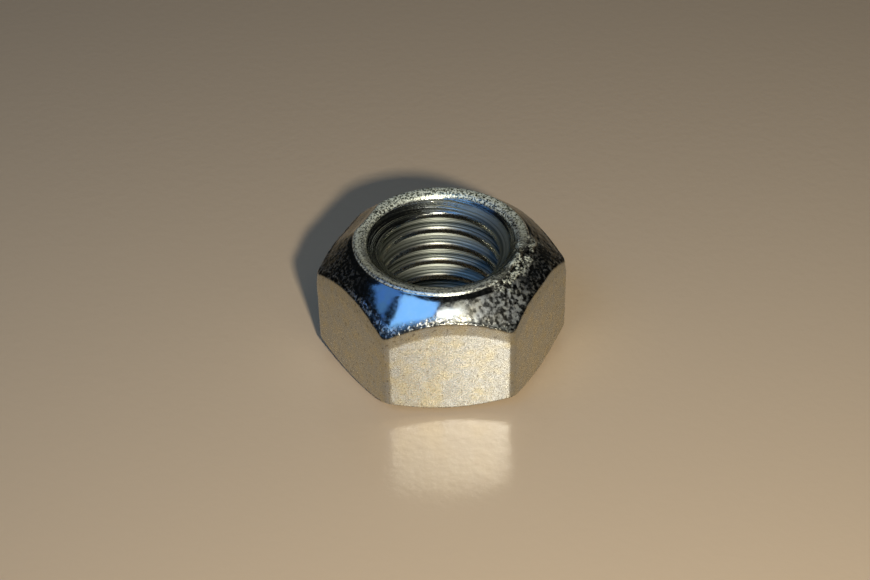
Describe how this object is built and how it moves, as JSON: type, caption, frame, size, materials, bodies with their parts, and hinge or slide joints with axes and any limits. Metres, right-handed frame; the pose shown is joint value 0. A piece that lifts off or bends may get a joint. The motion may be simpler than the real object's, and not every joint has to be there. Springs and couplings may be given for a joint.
{
  "type": "lock nut",
  "caption": "All-metal hexagon lock nut with a conical crown that is crimped at opposite points to grip a bolt thread.",
  "frame": {"origin": "centre of the flat bearing face at the bottom, on the thread axis", "axes": "+Z along the thread axis, from the bearing face towards the crimped crown; -Y square to the front flat, +X through a corner"},
  "size_m": [0.0216, 0.019, 0.0116],
  "materials": {
    "zinc_plated_steel": "bright zinc plating, satin on the flats and glossy on the crown"
  },
  "bodies": {
    "root": {"lock_nut": "zinc_plated_steel"}
  },
  "joints": []
}
